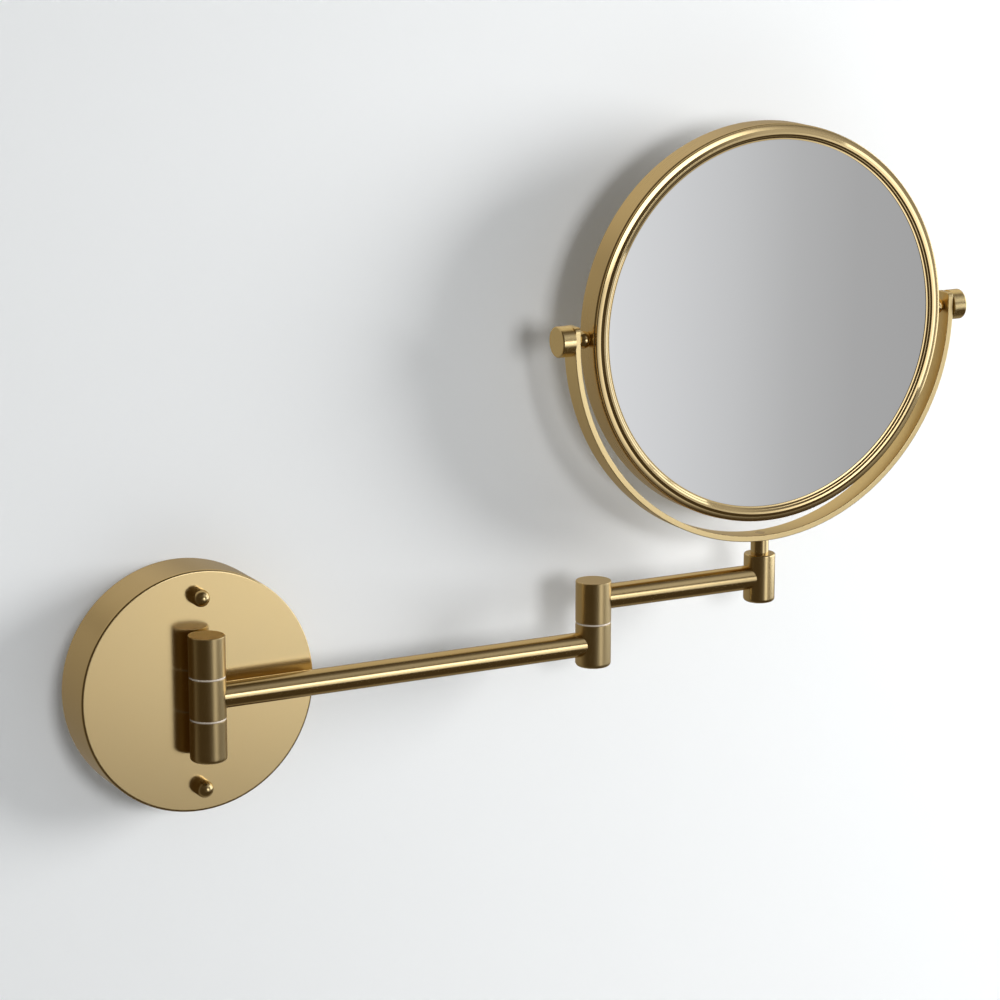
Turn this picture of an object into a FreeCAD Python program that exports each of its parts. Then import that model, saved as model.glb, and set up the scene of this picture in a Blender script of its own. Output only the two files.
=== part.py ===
import FreeCAD, Part
import math
import os

# A wall-mounted, double-sided makeup mirror on a two-part swing arm, in millimetres.
# The wall is the plane Y = 0 and the room lies towards -Y, with +X along the wall and +Z up.
# The origin is the centre of the wall cover's open back.

# Clearances shared by all pieces
running_gap = 0.05
seat_gap = 0.05
free_gap = 0.4
overrun = 2.0
edge_bevel = 0.4
edge_break = 0.15

# Wall cover, a spun cup that is open at the wall
cover_radius = 60.0
cover_depth = 26.5
cover_wall = 1.5

# Wall bracket, its studs and the cap nuts that hold the cover
stud_inset = 12.5
stud_radius = 2.5
bracket_width = 24.0
bracket_end = 7.0
bracket_thickness = 2.5
wall_slot_inset = 17.5
wall_slot_width = 5.0
wall_slot_length = 11.0
nut_radius = 4.3
nut_body = 4.2
nut_crown = 1.2

# Knuckles, nylon rings, pins and bushes of the two upright hinges
knuckle_radius = 9.0
knuckle_gap = 1.2
knuckle_height = 19.8
foot_bevel = 1.2
hinge_foot = 0.6
nylon_thickness = 1.0
nylon_inset = 0.1
pin_radius = 3.0
pin_cap = 6.0
pin_head_lip = 1.8
pin_head_height = 3.5
pin_recess = 1.1
bush_wall = 1.5
spring_thickness = 0.5
spring_rise = 0.4

# Posts that carry the hinge, their screws and the plate behind the cover's face
post_radius = 4.5
post_web = 2.5
plate_width = 18.0
plate_end = 10.0
plate_thickness = 2.0
screw_radius = 2.0
screw_head_lip = 1.8
screw_head_height = 2.6
screw_recess = 0.8
screw_tip_gap = 0.5

# Arms
tube_radius = 6.3
tube_wall = 1.2
inner_arm_length = 210.0
outer_arm_length = 97.5
plug_length = 14.0
tenon_radius = 3.0
tenon_bite_share = 0.6
lower_elbow_height = 21.2
elbow_foot = 1.0
upper_elbow_height = 21.0
outer_arm_seat = 11.7

# Wrist and yoke stem
wrist_radius = 8.1
wrist_height = 24.6
wrist_foot = 0.7
wrist_bevel = 0.8
wrist_bush_wall = 0.9
wrist_web = 1.7
stem_radius = 4.65
stem_reach = 7.6
stem_thread = 10.0
spigot_radius = 2.5

# Yoke band
yoke_width = 12.0
yoke_thickness = 3.0
yoke_gap = 6.9
yoke_drop = 1.0
yoke_end = 7.3
yoke_corner = 2.5

# Mirror head
hoop_radius = 101.7
hoop_wall = 1.2
hoop_width = 14.8
bezel_width = 8.05
bezel_inset = 0.3
lip_width = 0.8
lip_lift = 0.35
step_place = 1.6
step_width = 0.3
step_lift = 1.1
ridge_place = 2.75
ridge_width = 1.0
ridge_lift = 1.9
flat_fall = 0.085
shoulder_place = 6.05
shoulder_lift = 1.19
shoulder_edge = 1.02
shoulder_round = 0.55
skirt_wall = 1.6
skirt_depth = 2.4
glass_thickness = 3.0
rear_glass_sag = 5.4
pad_thickness = 0.6
pad_width = 3.4
core_width = 6.2

# Tilt pivots
pivot_radius = 2.0
pivot_gap = 0.2
insert_radius = 3.0
insert_length = 5.8
spacer_neck = 2.7
spacer_ball = 4.4
ball_place = 2.6
knob_radius = 7.8
knob_length = 7.4
knob_bevel = 0.8
knob_face = 2.2

# Heights and places that follow from the sizes above
stud_height = cover_radius - stud_inset
slot_height = stud_height - wall_slot_inset
hinge_depth = cover_depth + knuckle_radius + knuckle_gap
post_height = knuckle_height + nylon_thickness
hinge_top = post_height + knuckle_height / 2
hinge_base = -hinge_top - hinge_foot
spring_height = spring_rise + spring_thickness
pin_head_radius = pin_radius + pin_head_lip
pin_sink = pin_recess + pin_head_height + spring_height + seat_gap
screw_head_radius = screw_radius + screw_head_lip
screw_sink = screw_recess + screw_head_height + spring_height + seat_gap
bush_radius = pin_radius + running_gap + bush_wall
elbow_top = lower_elbow_height / 2
elbow_base = -elbow_top - elbow_foot
upper_elbow_base = elbow_top + nylon_thickness
upper_elbow_top = upper_elbow_base + upper_elbow_height
outer_arm_height = upper_elbow_base + outer_arm_seat
wrist_x = inner_arm_length + outer_arm_length
wrist_base = outer_arm_height - wrist_height / 2 - wrist_foot
wrist_top = outer_arm_height + wrist_height / 2
wrist_floor = wrist_base + screw_sink + wrist_web
wrist_bore = stem_radius + running_gap + wrist_bush_wall + seat_gap
yoke_inner = hoop_radius + yoke_gap
yoke_outer = yoke_inner + yoke_thickness
yoke_height = wrist_top + stem_reach + yoke_outer
pivot_height = yoke_height + yoke_drop
hoop_inner = hoop_radius - hoop_wall
hoop_edge = hoop_width / 2
skirt_outer = hoop_inner - seat_gap
skirt_inner = skirt_outer - skirt_wall
sight_radius = hoop_radius - bezel_width
glass_radius = skirt_inner - free_gap
glass_front = hoop_edge - seat_gap
glass_back = glass_front - glass_thickness
bend_radius = (glass_radius ** 2 + rear_glass_sag ** 2) / (2 * rear_glass_sag)
core_outer = skirt_outer
core_inner = core_outer - core_width
pad_outer = glass_radius - free_gap
pad_inner = pad_outer - pad_width
spacer_start = hoop_radius + seat_gap
spacer_end = yoke_inner - pivot_gap
knob_start = yoke_outer + pivot_gap
insert_end = hoop_inner - seat_gap
insert_start = insert_end - insert_length

right = FreeCAD.Vector(1, 0, 0)
back = FreeCAD.Vector(0, 1, 0)
up = FreeCAD.Vector(0, 0, 1)
room = -back


def at(x, depth, z):
    """Point at a given distance from the wall."""
    return FreeCAD.Vector(x, -depth, z)


hinge = at(0, hinge_depth, 0)
elbow = at(inner_arm_length, hinge_depth, 0)
wrist = at(wrist_x, hinge_depth, 0)
head = at(wrist_x, hinge_depth, pivot_height)
yoke_centre = at(wrist_x, hinge_depth, yoke_height)


def turned(origin, axis, spoke, start, *steps):
    """Solid of revolution. A point is (radius, height); a pair of points is an arc through the first."""
    def place(point):
        return origin + spoke * point[0] + axis * point[1]

    edges = []
    here = start
    for step in steps + (start,):
        if isinstance(step[0], tuple):
            middle, step = step
            edges.append(Part.Arc(place(here), place(middle), place(step)).toShape())
        else:
            edges.append(Part.LineSegment(place(here), place(step)).toShape())
        here = step
    return Part.Face(Part.Wire(edges)).revolve(origin, axis, 360)


def rod(origin, axis, radius, start, end):
    return Part.makeCylinder(radius, end - start, origin + axis * start, axis)


def tube(origin, axis, outer, inner, start, end):
    return rod(origin, axis, outer, start, end).cut(rod(origin, axis, inner, start - overrun, end + overrun))


def bevelled_rod(origin, axis, spoke, radius, start, end, start_bevel, end_bevel):
    return turned(origin, axis, spoke, (0, start), (radius - start_bevel, start),
                  (radius, start + start_bevel), (radius, end - end_bevel), (radius - end_bevel, end),
                  (0, end))


def slab(centre, width, thickness, height):
    """Flat strip whose back face is at the centre point, reaching into the room."""
    corner = centre + at(-width / 2, thickness, -height / 2)
    return Part.makeBox(width, thickness, height, corner)


def disc_spring(origin, axis, spoke, inner, outer, start):
    """Coned spring washer, with its outer edge at the start height."""
    return turned(origin, axis, spoke, (outer, start), (outer, start + spring_thickness),
                  (inner, start + spring_height), (inner, start + spring_rise))


def headed_screw(origin, axis, radius, head_radius, head_height, head_start, tip):
    head_disc = rod(origin, axis, head_radius, head_start, head_start + head_height)
    return head_disc.fuse(rod(origin, axis, radius, head_start, tip))


def pair(make):
    """The same piece above and below, or right and left, as two solids of one node."""
    return Part.makeCompound([make(1), make(-1)])


def wall_cover():
    inner = cover_radius - cover_wall
    floor = cover_depth - cover_wall
    cup = turned(at(0, 0, 0), room, right, (cover_radius, 0), (cover_radius, cover_depth - edge_bevel),
                 (cover_radius - edge_bevel, cover_depth), (0, cover_depth), (0, floor), (inner, floor),
                 (inner, 0))
    for side in (1, -1):
        for height, radius in ((stud_height, stud_radius), (post_height, screw_radius)):
            cup = cup.cut(rod(at(0, 0, side * height), room, radius + free_gap, floor - overrun,
                              cover_depth + overrun))
    return cup


def wall_bracket():
    strip = slab(at(0, 0, 0), bracket_width, bracket_thickness, 2 * (stud_height + bracket_end))
    half_run = (wall_slot_length - wall_slot_width) / 2
    for side in (1, -1):
        strip = strip.cut(rod(at(0, 0, side * stud_height), room, stud_radius + seat_gap, -overrun,
                              bracket_thickness + overrun))
        slot = slab(at(0, -overrun, side * slot_height), wall_slot_width, bracket_thickness + 2 * overrun,
                    2 * half_run)
        for end in (half_run, -half_run):
            slot = slot.fuse(rod(at(0, 0, side * slot_height + end), room, wall_slot_width / 2, -overrun,
                                 bracket_thickness + overrun))
        strip = strip.cut(slot)
    return strip


def bracket_studs():
    return pair(lambda side: rod(at(0, 0, side * stud_height), room, stud_radius, 0, cover_depth + nut_body))


def cap_nuts():
    def nut(side):
        waist = cover_depth + nut_body
        slant_share = math.sqrt(0.5)
        dome = ((nut_radius * slant_share, waist + nut_radius * slant_share), (0, waist + nut_radius))
        bore = stud_radius + seat_gap
        return turned(at(0, 0, side * stud_height), room, right, (bore, cover_depth),
                      (nut_radius, cover_depth), (nut_radius, waist), dome, (0, waist + nut_crown),
                      (bore, waist + nut_crown))
    return pair(nut)


def backing_plate():
    face = cover_depth - cover_wall
    height = 2 * (post_height + plate_end)
    plate = slab(at(0, face - plate_thickness, 0), plate_width, plate_thickness, height)
    for side in (1, -1):
        plate = plate.cut(rod(at(0, 0, side * post_height), room, screw_radius + free_gap,
                              face - plate_thickness - overrun, face + overrun))
    return plate


def post_floor():
    """Depth of the flat floor of a post's socket in its knuckle."""
    return hinge_depth - pin_radius - post_web


def hinge_posts():
    return pair(lambda side: tube(at(0, 0, side * post_height), room, post_radius, screw_radius + seat_gap,
                                  cover_depth, post_floor() - seat_gap))


def post_screws():
    seat = cover_depth - cover_wall - plate_thickness
    return pair(lambda side: headed_screw(at(0, 0, side * post_height), room, screw_radius, screw_head_radius,
                                          screw_head_height, seat - screw_head_height,
                                          post_floor() - screw_tip_gap))


def post_socket(side):
    return rod(at(0, 0, side * post_height), room, post_radius + seat_gap, cover_depth, post_floor())


def upper_hinge_knuckle():
    base = hinge_top - knuckle_height
    knuckle = bevelled_rod(hinge, up, right, knuckle_radius, base, hinge_top, edge_break, edge_bevel)
    bore = rod(hinge, up, pin_radius + seat_gap, base - overrun, hinge_top - pin_cap + seat_gap)
    return knuckle.cut(bore).cut(post_socket(1))


def lower_hinge_knuckle():
    top = knuckle_height - hinge_top
    knuckle = bevelled_rod(hinge, up, right, knuckle_radius, hinge_base, top, foot_bevel, edge_break)
    sink = rod(hinge, up, pin_head_radius + free_gap, hinge_base - overrun, hinge_base + pin_sink)
    bore = rod(hinge, up, pin_radius + seat_gap, hinge_base, top + overrun)
    return knuckle.cut(sink).cut(bore).cut(post_socket(-1))


def hinge_pin():
    return headed_screw(hinge, up, pin_radius, pin_head_radius, pin_head_height, hinge_base + pin_recess,
                        hinge_top - pin_cap)


def hinge_spring_washer():
    start = hinge_base + pin_recess + pin_head_height
    return disc_spring(hinge, up, right, pin_radius + free_gap, pin_head_radius, start)


def nylon_ring(origin, base):
    return tube(origin, up, knuckle_radius - nylon_inset, pin_radius + free_gap, base, base + nylon_thickness)


def hinge_washers():
    middle = knuckle_height / 2 + nylon_thickness / 2
    return pair(lambda side: nylon_ring(hinge, side * middle - nylon_thickness / 2))


def tenon_floor(radius, bore):
    """Distance from a knuckle's axis to the floor of its tenon hole."""
    return radius - (radius - bore) * tenon_bite_share


def tenon_hole(origin, axis, radius, bore):
    return rod(origin, axis, tenon_radius + seat_gap, tenon_floor(radius, bore), radius + overrun)


def arm_hinge_knuckle():
    half = knuckle_height / 2
    bore = bush_radius + seat_gap
    knuckle = bevelled_rod(hinge, up, right, knuckle_radius, -half, half, edge_break, edge_break)
    knuckle = knuckle.cut(rod(hinge, up, bore, -half - overrun, half + overrun))
    return knuckle.cut(tenon_hole(hinge, right, knuckle_radius, bore))


def hinge_bush():
    return tube(hinge, up, bush_radius, pin_radius + running_gap, -knuckle_height / 2, knuckle_height / 2)


def arm_tube(start, length, end_radius):
    """Tube from a knuckle's axis, with both ends coped to the knuckles that it is brazed to."""
    pipe = tube(start, right, tube_radius, tube_radius - tube_wall, 0, length)
    for centre, radius in ((start, knuckle_radius), (start + right * length, end_radius)):
        cope = rod(centre, up, radius + seat_gap, -tube_radius - overrun, tube_radius + overrun)
        pipe = pipe.cut(cope)
    return pipe


def arm_plug(origin, axis, radius, bore):
    body = rod(origin, axis, tube_radius - tube_wall - seat_gap, radius + seat_gap, radius + plug_length)
    tenon = rod(origin, axis, tenon_radius, tenon_floor(radius, bore) + seat_gap, radius + plug_length)
    return body.fuse(tenon).removeSplitter()


def inner_arm_tube():
    return arm_tube(hinge, inner_arm_length, knuckle_radius)


def inner_arm_plugs():
    bore = bush_radius + seat_gap
    return Part.makeCompound([arm_plug(hinge, right, knuckle_radius, bore),
                              arm_plug(elbow, -right, knuckle_radius, bore)])


def lower_elbow_knuckle():
    bore = bush_radius + seat_gap
    knuckle = bevelled_rod(elbow, up, right, knuckle_radius, elbow_base, elbow_top, foot_bevel, edge_break)
    sink = rod(elbow, up, pin_head_radius + free_gap, elbow_base - overrun, elbow_base + pin_sink)
    knuckle = knuckle.cut(sink).cut(rod(elbow, up, bore, elbow_base, elbow_top + overrun))
    return knuckle.cut(tenon_hole(elbow, -right, knuckle_radius, bore))


def elbow_bush():
    return tube(elbow, up, bush_radius, pin_radius + running_gap, elbow_base + pin_sink, elbow_top)


def outer_arm_point(origin):
    return origin + up * outer_arm_height


def upper_elbow_knuckle():
    bore = pin_radius + seat_gap
    knuckle = bevelled_rod(elbow, up, right, knuckle_radius, upper_elbow_base, upper_elbow_top,
                           edge_break, edge_bevel)
    thread = rod(elbow, up, bore, upper_elbow_base - overrun, upper_elbow_top - pin_cap + seat_gap)
    return knuckle.cut(thread).cut(tenon_hole(outer_arm_point(elbow), right, knuckle_radius, bore))


def elbow_washer():
    return nylon_ring(elbow, elbow_top)


def elbow_screw():
    return headed_screw(elbow, up, pin_radius, pin_head_radius, pin_head_height, elbow_base + pin_recess,
                        upper_elbow_top - pin_cap)


def elbow_spring_washer():
    start = elbow_base + pin_recess + pin_head_height
    return disc_spring(elbow, up, right, pin_radius + free_gap, pin_head_radius, start)


def outer_arm_tube():
    return arm_tube(outer_arm_point(elbow), outer_arm_length, wrist_radius)


def outer_arm_plugs():
    return Part.makeCompound([
        arm_plug(outer_arm_point(elbow), right, knuckle_radius, pin_radius + seat_gap),
        arm_plug(outer_arm_point(wrist), -right, wrist_radius, wrist_bore)])


def wrist_knuckle():
    knuckle = bevelled_rod(wrist, up, right, wrist_radius, wrist_base, wrist_top, foot_bevel, wrist_bevel)
    sink = rod(wrist, up, screw_head_radius + free_gap, wrist_base - overrun, wrist_base + screw_sink)
    hole = rod(wrist, up, screw_radius + free_gap, wrist_base, wrist_floor + overrun)
    knuckle = knuckle.cut(sink).cut(hole).cut(rod(wrist, up, wrist_bore, wrist_floor, wrist_top + overrun))
    return knuckle.cut(tenon_hole(outer_arm_point(wrist), -right, wrist_radius, wrist_bore))


def wrist_bush():
    return tube(wrist, up, wrist_bore - seat_gap, stem_radius + running_gap, wrist_floor, wrist_top)


def yoke_stem():
    """Stem coped to the round of the band, with a spigot that passes through it and ends flush."""
    outer = rod(yoke_centre, back, yoke_outer + seat_gap, -yoke_width, yoke_width)
    inner = rod(yoke_centre, back, yoke_inner, -yoke_width, yoke_width)
    stem = rod(wrist, up, stem_radius, wrist_floor, yoke_height - yoke_inner).cut(outer)
    spigot = rod(wrist, up, spigot_radius, wrist_top, yoke_height - yoke_inner + overrun).cut(inner)
    thread = rod(wrist, up, screw_radius + seat_gap, wrist_floor - overrun, wrist_floor + stem_thread)
    return stem.fuse(spigot).cut(thread).removeSplitter()


def stem_screw():
    return headed_screw(wrist, up, screw_radius, screw_head_radius, screw_head_height,
                        wrist_base + screw_recess, wrist_floor + stem_thread - screw_tip_gap)


def stem_spring_washer():
    start = wrist_base + screw_recess + screw_head_height
    return disc_spring(wrist, up, right, screw_radius + free_gap, screw_head_radius, start)


def yoke_outline(radius):
    """Half round below the yoke's centre with straight legs above it, as a flat face."""
    top = yoke_drop + yoke_end
    left_foot = yoke_centre - right * radius
    right_foot = yoke_centre + right * radius
    edges = [Part.Arc(left_foot, yoke_centre - up * radius, right_foot).toShape(),
             Part.LineSegment(right_foot, right_foot + up * top).toShape(),
             Part.LineSegment(right_foot + up * top, left_foot + up * top).toShape(),
             Part.LineSegment(left_foot + up * top, left_foot).toShape()]
    return Part.Face(Part.Wire(edges))


def yoke_band():
    flat = yoke_outline(yoke_outer).cut(yoke_outline(yoke_inner))
    band = flat.extrude(back * yoke_width)
    band.translate(room * (yoke_width / 2))
    top = pivot_height + yoke_end
    corners = [edge for edge in band.Edges
               if edge.BoundBox.ZMin > top - seat_gap and edge.BoundBox.YLength < seat_gap]
    band = band.makeFillet(yoke_corner, corners)
    reach = yoke_outer + overrun
    band = band.cut(rod(head, right, pivot_radius + running_gap, -reach, reach))
    return band.cut(rod(yoke_centre, -up, spigot_radius + seat_gap, yoke_inner - overrun, reach))


def frame_hoop():
    hoop = tube(head, room, hoop_radius, hoop_inner, -hoop_edge, hoop_edge)
    return hoop.cut(rod(head, right, pivot_radius + free_gap, -hoop_radius - overrun, hoop_radius + overrun))


def bezel(facing):
    """Turned ring with a lip at the glass, a step, a ridge and a round shoulder, and a skirt in the hoop."""
    outer = hoop_radius - bezel_inset
    shoulder = outer - shoulder_round
    wall_end = hoop_edge + shoulder_edge - shoulder_round
    slant = shoulder_round * math.sin(math.radians(45))
    edge = ((shoulder + slant, wall_end + slant), (shoulder, hoop_edge + shoulder_edge))
    points = []
    for place, width, lift in ((ridge_place, ridge_width, ridge_lift), (step_place, step_width, step_lift),
                               (0, lip_width, lip_lift)):
        start = sight_radius + place
        points += [(start + width, hoop_edge + lift), (start, hoop_edge + lift - width * flat_fall)]
    skirt_end = hoop_edge - skirt_depth
    return turned(head, facing, right, (outer, hoop_edge), (outer, wall_end), edge,
                  (sight_radius + shoulder_place, hoop_edge + shoulder_lift), *points,
                  (sight_radius, hoop_edge), (skirt_inner, hoop_edge), (skirt_inner, skirt_end),
                  (skirt_outer, skirt_end), (skirt_outer, hoop_edge))


def front_bezel():
    return bezel(room)


def rear_bezel():
    return bezel(back)


def bent_rise(radius):
    """How far the bent glass lies behind its rim plane at a radius."""
    return math.sqrt(bend_radius ** 2 - radius ** 2) - math.sqrt(bend_radius ** 2 - glass_radius ** 2)


def front_glass():
    return rod(head, room, glass_radius, glass_back, glass_front)


def rear_glass():
    """Glass bent to a shallow bowl that is hollow towards the wall, of even thickness."""
    middle = glass_radius / 2
    outer_face = ((middle, glass_front - bent_rise(middle)), (glass_radius, glass_front))
    inner_face = ((middle, glass_back - bent_rise(middle)), (0, glass_back - bent_rise(0)))
    return turned(head, back, right, (0, glass_front - bent_rise(0)), outer_face, (glass_radius, glass_back),
                  inner_face)


def front_pad():
    return tube(head, room, pad_outer, pad_inner, glass_back - pad_thickness, glass_back)


def rear_seat(radius):
    """Height of the bent glass's inner face, measured from the mirror's mid plane towards the wall."""
    return glass_back - bent_rise(radius) - seat_gap


def rear_pad():
    outer_seat = rear_seat(pad_outer)
    inner_seat = rear_seat(pad_inner)
    return turned(head, back, right, (pad_outer, outer_seat), (pad_inner, inner_seat),
                  (pad_inner, inner_seat - pad_thickness), (pad_outer, outer_seat - pad_thickness))


def core_ring():
    front = pad_thickness - glass_back
    back_drop = pad_thickness + seat_gap
    ring = turned(head, back, right, (core_outer, front), (core_inner, front),
                  (core_inner, rear_seat(core_inner) - back_drop),
                  (core_outer, rear_seat(core_outer) - back_drop))
    return ring.cut(rod(head, right, insert_radius + seat_gap, -hoop_radius, hoop_radius))


def both_pivots(make):
    return Part.makeCompound([make(right), make(-right)])


def pivot_inserts():
    return both_pivots(lambda axis: tube(head, axis, insert_radius, pivot_radius + seat_gap, insert_start,
                                         insert_end))


def pivot_spacers():
    """Turned ball that sits on the hoop, with a short neck at the yoke."""
    bore = pivot_radius + seat_gap
    middle = spacer_start + ball_place
    foot = math.sqrt(spacer_ball ** 2 - ball_place ** 2)
    neck_start = middle + math.sqrt(spacer_ball ** 2 - spacer_neck ** 2)

    def spacer(axis):
        ball = ((spacer_ball, middle), (foot, spacer_start))
        return turned(head, axis, up, (bore, spacer_start), (bore, spacer_end), (spacer_neck, spacer_end),
                      (spacer_neck, neck_start), ball)
    return both_pivots(spacer)


def pivot_studs():
    tip = knob_start + knob_length - knob_face
    return both_pivots(lambda axis: rod(head, axis, pivot_radius, insert_start, tip))


def pivot_knobs():
    def knob(axis):
        end = knob_start + knob_length
        body = bevelled_rod(head, axis, up, knob_radius, knob_start, end, edge_break, knob_bevel)
        bore = rod(head, axis, pivot_radius + seat_gap, knob_start - overrun, end - knob_face + seat_gap)
        sink = rod(head, axis, pin_head_radius + seat_gap, knob_start - overrun, knob_start + spring_height)
        return body.cut(bore).cut(sink)
    return both_pivots(knob)


def pivot_spring_washers():
    return both_pivots(lambda axis: disc_spring(head, axis, up, pivot_radius + seat_gap, pin_head_radius,
                                                knob_start - seat_gap))


pieces = (wall_cover, wall_bracket, bracket_studs, cap_nuts, backing_plate, hinge_posts, post_screws,
          upper_hinge_knuckle, lower_hinge_knuckle, hinge_pin, hinge_spring_washer, hinge_washers,
          arm_hinge_knuckle, hinge_bush, inner_arm_tube, inner_arm_plugs, lower_elbow_knuckle, elbow_bush,
          upper_elbow_knuckle, elbow_washer, elbow_screw, elbow_spring_washer, outer_arm_tube,
          outer_arm_plugs, wrist_knuckle, wrist_bush,
          yoke_stem, yoke_band, stem_screw, stem_spring_washer,
          frame_hoop, front_bezel, rear_bezel, front_glass, rear_glass, front_pad, rear_pad, core_ring,
          pivot_inserts, pivot_spacers, pivot_studs, pivot_knobs, pivot_spring_washers)

os.makedirs("parts", exist_ok=True)
for piece in pieces:
    shape = piece()
    print(piece.__name__, len(shape.Solids), round(shape.Volume, 1), shape.isValid())
    shape.exportStep("parts/" + piece.__name__ + ".step")
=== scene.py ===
import math
import bmesh
import bpy
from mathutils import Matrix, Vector


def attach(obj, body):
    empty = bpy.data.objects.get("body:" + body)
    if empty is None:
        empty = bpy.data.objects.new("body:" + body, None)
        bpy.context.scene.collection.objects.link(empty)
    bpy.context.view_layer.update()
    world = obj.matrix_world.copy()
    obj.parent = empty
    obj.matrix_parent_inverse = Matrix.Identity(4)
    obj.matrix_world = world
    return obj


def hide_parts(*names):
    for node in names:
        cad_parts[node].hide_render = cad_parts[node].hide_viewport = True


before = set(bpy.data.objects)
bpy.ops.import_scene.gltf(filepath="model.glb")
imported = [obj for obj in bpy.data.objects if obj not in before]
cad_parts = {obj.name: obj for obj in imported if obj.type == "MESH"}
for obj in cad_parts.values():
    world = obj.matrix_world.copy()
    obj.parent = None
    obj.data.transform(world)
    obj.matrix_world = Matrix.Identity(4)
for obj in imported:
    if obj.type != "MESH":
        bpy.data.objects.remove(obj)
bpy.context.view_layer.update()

# Wall cover: a cup spun from sheet brass, open at the wall, that hides the bracket.
# The face and rim are satin brushed in rings round the centre and lacquered.
# Two studs from the bracket pass through its face, and two screws hold the hinge posts on it.
MM = 0.001
RIGHT, BACK, UP = Vector((1, 0, 0)), Vector((0, 1, 0)), Vector((0, 0, 1))
ROOM = -BACK
zero = Vector((0, 0, 0))
sharp_angle = math.radians(38)
round_steps, support_share = 7, 0.35


def rounded(outline):
    """Section points (radius, height, corner round) in mm, with each round drawn out and marked as worn."""
    points = []
    for i, corner in enumerate(outline):
        here = Vector(corner[:2])
        if len(corner) < 3:
            points.append((here, 0.0))
            continue
        size = corner[2]
        into = (Vector(outline[i - 1][:2]) - here).normalized()
        onward = (Vector(outline[(i + 1) % len(outline)][:2]) - here).normalized()
        half = into.angle(onward) / 2
        reach = size / math.tan(half)
        centre = here + (into + onward).normalized() * (size / math.sin(half))
        first, last = here + into * reach, here + onward * reach
        sweep = math.pi - 2 * half
        points.append((first + into * size * support_share, 0.0))
        for step in range(round_steps + 1):
            share = step / round_steps
            arm = (first - centre) * math.sin((1 - share) * sweep) + (last - centre) * math.sin(share * sweep)
            points.append((centre + arm / math.sin(sweep), math.sin(share * math.pi)))
        points.append((last + onward * size * support_share, 0.0))
    return points


def in_scene(name, data):
    """New object in the scene."""
    piece = bpy.data.objects.new(name, data)
    bpy.context.scene.collection.objects.link(piece)
    return piece


def mesh_of(name, mesh):
    """Mesh data from a finished bmesh."""
    data = bpy.data.meshes.new(name)
    mesh.to_mesh(data)
    mesh.free()
    return data


def smoothed(piece):
    """The piece shaded smooth but for its sharp edges."""
    piece.data.polygons.foreach_set("use_smooth", [True] * len(piece.data.polygons))
    piece.data.set_sharp_from_angle(angle=sharp_angle)
    return piece


def closed_mesh(name, mesh):
    """Piece from a finished bmesh, with outward normals."""
    bmesh.ops.recalc_face_normals(mesh, faces=mesh.faces)
    return smoothed(in_scene(name, mesh_of(name, mesh)))


def turned(name, outline, origin, axis, steps=160):
    """Piece turned on a lathe: a closed section swept round an axis, all in mm."""
    mesh = bmesh.new()
    worn = mesh.verts.layers.float.new("edge")
    spoke = axis.orthogonal().normalized()
    side = axis.cross(spoke)
    rings = []
    for (radius, height), mark in rounded(outline):
        ring = []
        for i in range(steps if radius > 0 else 1):
            angle = 2 * math.pi * i / steps
            out = spoke * math.cos(angle) + side * math.sin(angle)
            ring.append(mesh.verts.new((origin + out * radius + axis * height) * MM))
            ring[-1][worn] = mark
        rings.append(ring)
    for low, high in zip(rings, rings[1:] + rings[:1]):
        for i in range(steps):
            j = (i + 1) % steps
            corners = low[i % len(low)], low[j % len(low)], high[j % len(high)], high[i % len(high)]
            corners = list(dict.fromkeys(corners))
            if len(corners) > 2:
                mesh.faces.new(corners)
    return closed_mesh(name, mesh)


def settled(piece):
    """The piece with its modifiers made part of a plain mesh."""
    graph = bpy.context.evaluated_depsgraph_get()
    data = bpy.data.meshes.new_from_object(piece.evaluated_get(graph), preserve_all_data_layers=True,
                                           depsgraph=graph)
    piece.modifiers.clear()
    piece.data = data
    data.name = piece.name
    return piece


def drilled(piece, *cutters):
    """The piece with the shapes of the cutters taken out of it."""
    for cutter in cutters:
        hole = piece.modifiers.new("hole", "BOOLEAN")
        hole.object = cutter
        hole.solver = "EXACT"
    settled(piece)
    for cutter in cutters:
        bpy.data.objects.remove(cutter)
    return smoothed(piece)


def drill(origin, axis, radius, start, end, steps=64):
    """Round cutter along an axis."""
    return turned("drill", [(0, start), (radius, start), (radius, end), (0, end)], origin, axis, steps)


def add(tree, kind, values=None, **settings):
    """New node in a tree; a value is either a plain value or the socket that feeds it."""
    node = tree.nodes.new(kind)
    for key, value in settings.items():
        setattr(node, key, value)
    for key, value in (values or {}).items():
        if isinstance(value, bpy.types.NodeSocket):
            tree.links.new(value, node.inputs[key])
        else:
            node.inputs[key].default_value = value
    return node


def maths(tree, operation, *values):
    """Number worked out from others."""
    return add(tree, "ShaderNodeMath", dict(enumerate(values)), operation=operation).outputs[0]


def scaled(tree, value, factor, offset):
    """Number times a factor, plus an offset."""
    return maths(tree, "MULTIPLY_ADD", value, factor, offset)


def vector(tree, operation, *values):
    """Vector worked out from others, or the number that a length or a dot product gives."""
    node = add(tree, "ShaderNodeVectorMath", dict(enumerate(values)), operation=operation)
    return node.outputs["Value" if operation in ("LENGTH", "DOT_PRODUCT") else "Vector"]


def lengthened(tree, value, factor):
    """Vector times a number."""
    return add(tree, "ShaderNodeVectorMath", {0: value, "Scale": factor}, operation="SCALE").outputs["Vector"]


def own_place(tree):
    """Place on the piece in its own coordinates."""
    return add(tree, "ShaderNodeTexCoord").outputs["Object"]


def noise(tree, place, scale, detail, distortion=0.0):
    """Soft random pattern."""
    return add(tree, "ShaderNodeTexNoise", {"Vector": place, "Scale": scale, "Detail": detail,
                                            "Distortion": distortion}).outputs["Fac"]


def blend(tree, share, low, high):
    """Colour between two others."""
    return add(tree, "ShaderNodeMix", {0: share, 6: low, 7: high}, data_type="RGBA").outputs[2]


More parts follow.
